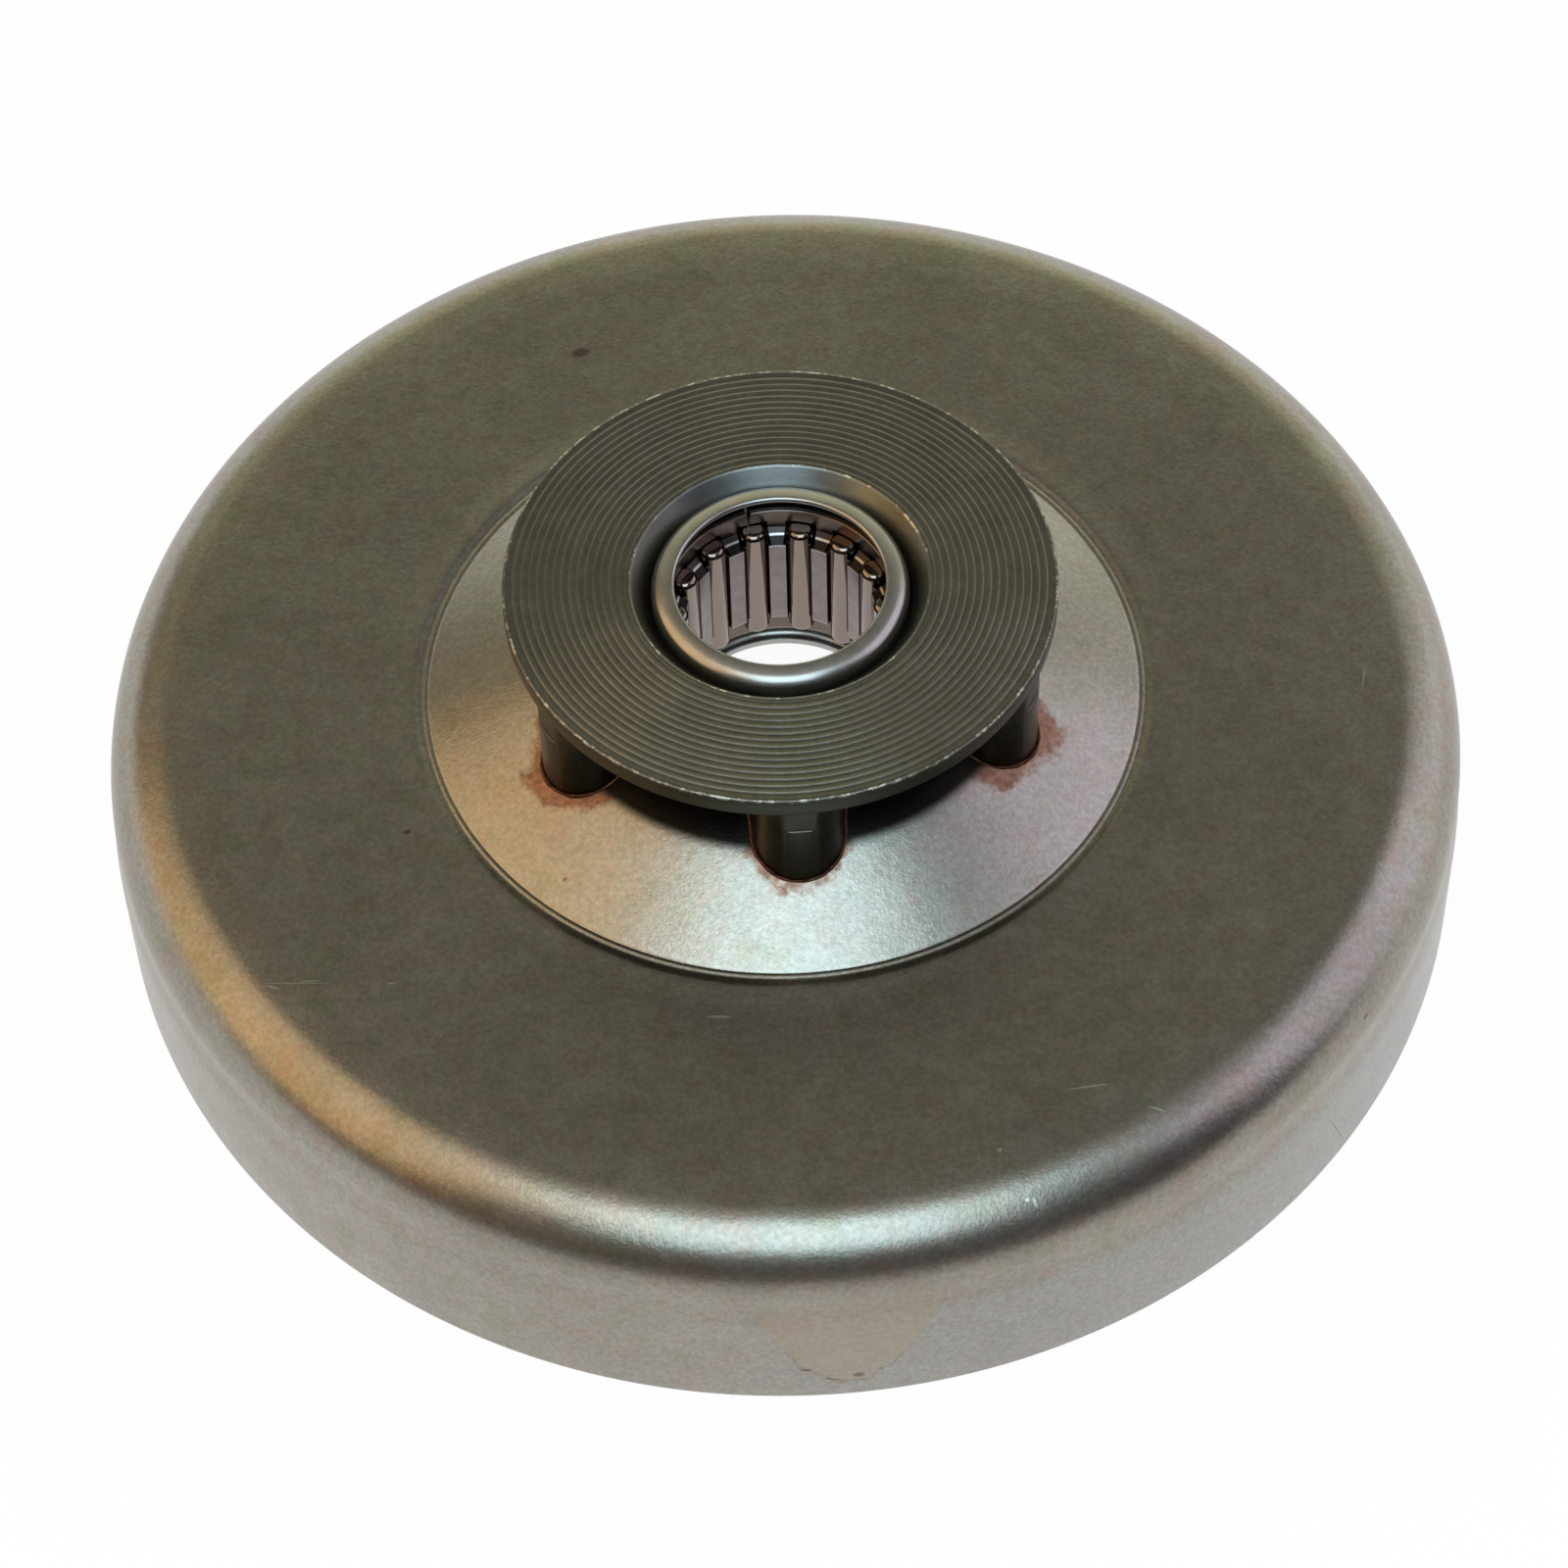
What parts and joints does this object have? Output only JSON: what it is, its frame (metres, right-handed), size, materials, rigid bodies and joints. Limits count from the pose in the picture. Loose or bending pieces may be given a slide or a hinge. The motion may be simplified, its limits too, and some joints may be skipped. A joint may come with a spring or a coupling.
{
  "type": "clutch drum sprocket",
  "caption": "Shallow round clutch drum with a spur sprocket brazed to its raised centre and a drawn-cup needle bearing pressed in the sprocket's bore.",
  "frame": {"origin": "on the drum's axis, in the plane of the open rim that the drum stands on", "axes": "+Z along the drum's axis, from the open rim towards the sprocket's flange; -Y is the side nearest the camera in the picture"},
  "size_m": [0.0754, 0.0754, 0.0222],
  "materials": {
    "drum_steel": "satin, drawn sheet steel with an olive tarnish",
    "sprocket_steel": "dark oil-blacked steel, turned on the flange's face",
    "copper_braze": "dull copper braze, tarnished brown",
    "cup_steel": "bright drawn steel, satin",
    "cage_steel": "pressed strip steel, grey",
    "roller_steel": "ground and polished bearing steel"
  },
  "bodies": {
    "drum": {"drum_cup": "drum_steel", "sprocket": "sprocket_steel", "braze_fillet": "copper_braze", "bearing_cup": "cup_steel"},
    "cage": {"bearing_cage": "cage_steel"},
    "roller_01": {"needle_roller_01": "roller_steel"},
    "roller_02": {"needle_roller_02": "roller_steel"},
    "roller_03": {"needle_roller_03": "roller_steel"},
    "roller_04": {"needle_roller_04": "roller_steel"},
    "roller_05": {"needle_roller_05": "roller_steel"},
    "roller_06": {"needle_roller_06": "roller_steel"},
    "roller_07": {"needle_roller_07": "roller_steel"},
    "roller_08": {"needle_roller_08": "roller_steel"},
    "roller_09": {"needle_roller_09": "roller_steel"},
    "roller_10": {"needle_roller_10": "roller_steel"},
    "roller_11": {"needle_roller_11": "roller_steel"},
    "roller_12": {"needle_roller_12": "roller_steel"},
    "roller_13": {"needle_roller_13": "roller_steel"},
    "roller_14": {"needle_roller_14": "roller_steel"}
  },
  "joints": [
    {"name": "cage_spin", "type": "hinge", "parent": "drum", "child": "cage", "pos_m": [0, 0, 0.0156], "axis": [0, 0, 1], "continuous": true},
    {"name": "roller_01_spin", "type": "hinge", "parent": "cage", "child": "roller_01", "pos_m": [0.00577, 0.0001, 0.0156], "axis": [0, 0, 1], "continuous": true},
    {"name": "roller_02_spin", "type": "hinge", "parent": "cage", "child": "roller_02", "pos_m": [0.00515, 0.00259, 0.0156], "axis": [0, 0, 1], "continuous": true},
    {"name": "roller_03_spin", "type": "hinge", "parent": "cage", "child": "roller_03", "pos_m": [0.00352, 0.00457, 0.0156], "axis": [0, 0, 1], "continuous": true},
    {"name": "roller_04_spin", "type": "hinge", "parent": "cage", "child": "roller_04", "pos_m": [0.00119, 0.00565, 0.0156], "axis": [0, 0, 1], "continuous": true},
    {"name": "roller_05_spin", "type": "hinge", "parent": "cage", "child": "roller_05", "pos_m": [-0.00138, 0.0056, 0.0156], "axis": [0, 0, 1], "continuous": true},
    {"name": "roller_06_spin", "type": "hinge", "parent": "cage", "child": "roller_06", "pos_m": [-0.00368, 0.00445, 0.0156], "axis": [0, 0, 1], "continuous": true},
    {"name": "roller_07_spin", "type": "hinge", "parent": "cage", "child": "roller_07", "pos_m": [-0.00524, 0.00241, 0.0156], "axis": [0, 0, 1], "continuous": true},
    {"name": "roller_08_spin", "type": "hinge", "parent": "cage", "child": "roller_08", "pos_m": [-0.00577, -0.0001, 0.0156], "axis": [0, 0, 1], "continuous": true},
    {"name": "roller_09_spin", "type": "hinge", "parent": "cage", "child": "roller_09", "pos_m": [-0.00515, -0.00259, 0.0156], "axis": [0, 0, 1], "continuous": true},
    {"name": "roller_10_spin", "type": "hinge", "parent": "cage", "child": "roller_10", "pos_m": [-0.00352, -0.00457, 0.0156], "axis": [0, 0, 1], "continuous": true},
    {"name": "roller_11_spin", "type": "hinge", "parent": "cage", "child": "roller_11", "pos_m": [-0.00119, -0.00565, 0.0156], "axis": [0, 0, 1], "continuous": true},
    {"name": "roller_12_spin", "type": "hinge", "parent": "cage", "child": "roller_12", "pos_m": [0.00138, -0.0056, 0.0156], "axis": [0, 0, 1], "continuous": true},
    {"name": "roller_13_spin", "type": "hinge", "parent": "cage", "child": "roller_13", "pos_m": [0.00368, -0.00445, 0.0156], "axis": [0, 0, 1], "continuous": true},
    {"name": "roller_14_spin", "type": "hinge", "parent": "cage", "child": "roller_14", "pos_m": [0.00524, -0.00241, 0.0156], "axis": [0, 0, 1], "continuous": true}
  ],
  "couplings": [
    {"joint": "roller_01_spin", "follows": "cage_spin", "ratio": -8.72},
    {"joint": "roller_02_spin", "follows": "cage_spin", "ratio": -8.72},
    {"joint": "roller_03_spin", "follows": "cage_spin", "ratio": -8.72},
    {"joint": "roller_04_spin", "follows": "cage_spin", "ratio": -8.72},
    {"joint": "roller_05_spin", "follows": "cage_spin", "ratio": -8.72},
    {"joint": "roller_06_spin", "follows": "cage_spin", "ratio": -8.72},
    {"joint": "roller_07_spin", "follows": "cage_spin", "ratio": -8.72},
    {"joint": "roller_08_spin", "follows": "cage_spin", "ratio": -8.72},
    {"joint": "roller_09_spin", "follows": "cage_spin", "ratio": -8.72},
    {"joint": "roller_10_spin", "follows": "cage_spin", "ratio": -8.72},
    {"joint": "roller_11_spin", "follows": "cage_spin", "ratio": -8.72},
    {"joint": "roller_12_spin", "follows": "cage_spin", "ratio": -8.72},
    {"joint": "roller_13_spin", "follows": "cage_spin", "ratio": -8.72},
    {"joint": "roller_14_spin", "follows": "cage_spin", "ratio": -8.72}
  ]
}
